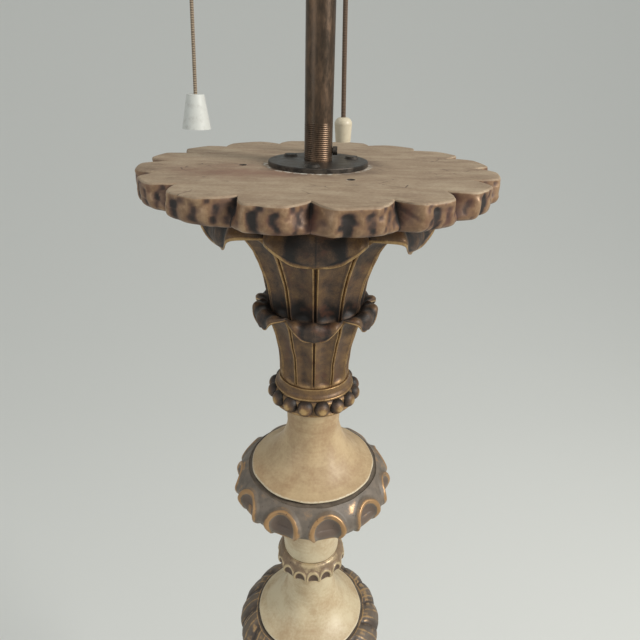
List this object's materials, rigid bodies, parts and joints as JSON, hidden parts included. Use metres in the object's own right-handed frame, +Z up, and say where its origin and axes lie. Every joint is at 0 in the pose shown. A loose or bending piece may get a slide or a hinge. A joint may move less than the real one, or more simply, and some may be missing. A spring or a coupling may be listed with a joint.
{
  "type": "candlestick floor lamp",
  "caption": "Candlestick floor lamp: turned cream and gilt column with carved leaf capital, scalloped drip disc, steel stem and twin pull-cord lampholders.",
  "frame": {"origin": "floor point under the column's axis", "axes": "+Z up the column, -Y to the front, +X to the lamp's right as seen from the front"},
  "size_m": [0.3688, 0.3688, 1.7474],
  "materials": {
    "gilt_wood": "aged gilding over red bole on carved wood",
    "cream_paint": "cream paint with brown glaze on turned wood",
    "disc_wood": "worn matt paint on wood",
    "dark_wood": "dark stained wood",
    "cast_iron": "rough cast",
    "dark_steel": "dark bronzed steel",
    "stem_metal": "dark patinated brass",
    "bright_steel": "zinc plated",
    "black_plastic": "moulded",
    "brown_plastic": "moulded phenolic",
    "porcelain": "glazed porcelain",
    "pull_cord": "twisted cord",
    "white_plastic": "moulded",
    "ivory_plastic": "moulded",
    "brass": "aged brass"
  },
  "bodies": {
    "lamp": {"arm_nuts": "brass", "ballast_weight": "cast_iron", "base_board": "dark_wood", "base_ring": "gilt_wood", "base_trumpet": "cream_paint", "bead_collar_lower": "gilt_wood", "bead_collar_upper": "gilt_wood", "bun_foot_1": "dark_wood", "bun_foot_2": "dark_wood", "bun_foot_3": "dark_wood", "cable_bush": "black_plastic", "capital_lower": "gilt_wood", "capital_upper": "gilt_wood", "disc_pins": "dark_steel", "draw_rod": "bright_steel", "drip_disc": "disc_wood", "finial": "brass", "flange_plate": "dark_steel", "flange_screws": "dark_steel", "foot_dowels": "dark_wood", "hub": "brass", "leaf_cup": "gilt_wood", "left_arm": "brass", "left_case_cover": "brown_plastic", "left_contact_core": "porcelain", "left_holder_shell": "brass", "left_shade_ring": "brass", "left_switch_case": "brown_plastic", "lever_pins": "bright_steel", "lobed_ring_middle": "gilt_wood", "main_shaft": "cream_paint", "neck_middle": "cream_paint", "neck_ring_middle": "gilt_wood", "neck_ring_upper": "gilt_wood", "neck_upper": "cream_paint", "right_arm": "brass", "right_case_cover": "brown_plastic", "right_contact_core": "porcelain", "right_holder_shell": "brass", "right_shade_ring": "brass", "right_switch_case": "brown_plastic", "rod_nuts": "bright_steel", "rod_washers": "bright_steel", "scalloped_ring_lower": "gilt_wood", "scalloped_ring_upper": "gilt_wood", "stem_tube": "stem_metal", "trumpet_lower": "cream_paint", "trumpet_middle": "cream_paint", "trumpet_upper": "cream_paint", "tube_lock_screw": "dark_steel"},
    "left_pull_body": {"left_cord": "pull_cord", "left_cord_knots": "pull_cord", "left_pull": "white_plastic"},
    "left_lever_body": {"left_switch_lever": "brass"},
    "right_pull_body": {"right_cord": "pull_cord", "right_cord_knots": "pull_cord", "right_pull": "ivory_plastic"},
    "right_lever_body": {"right_switch_lever": "brass"}
  },
  "joints": [
    {"name": "left_cord_pull", "type": "slide", "parent": "lamp", "child": "left_pull_body", "axis": [0, 0, -1], "range_m": [0, 0.008], "stiffness_N_per_m": 300, "springref_m": -0.004},
    {"name": "left_lever_rock", "type": "hinge", "parent": "lamp", "child": "left_lever_body", "pos_m": [-0.05871, -0.05097, 1.683], "axis": [0, -1, 0], "range_deg": [0, 21.98]},
    {"name": "right_cord_pull", "type": "slide", "parent": "lamp", "child": "right_pull_body", "axis": [0, 0, -1], "range_m": [0, 0.008], "stiffness_N_per_m": 300, "springref_m": -0.004},
    {"name": "right_lever_rock", "type": "hinge", "parent": "lamp", "child": "right_lever_body", "pos_m": [0.03871, 0.05097, 1.683], "axis": [0, -1, 0], "range_deg": [0, 21.98]}
  ],
  "couplings": [
    {"joint": "left_lever_rock", "follows": "left_cord_pull", "rad_per_m": 47.912},
    {"joint": "right_lever_rock", "follows": "right_cord_pull", "rad_per_m": 47.912}
  ]
}
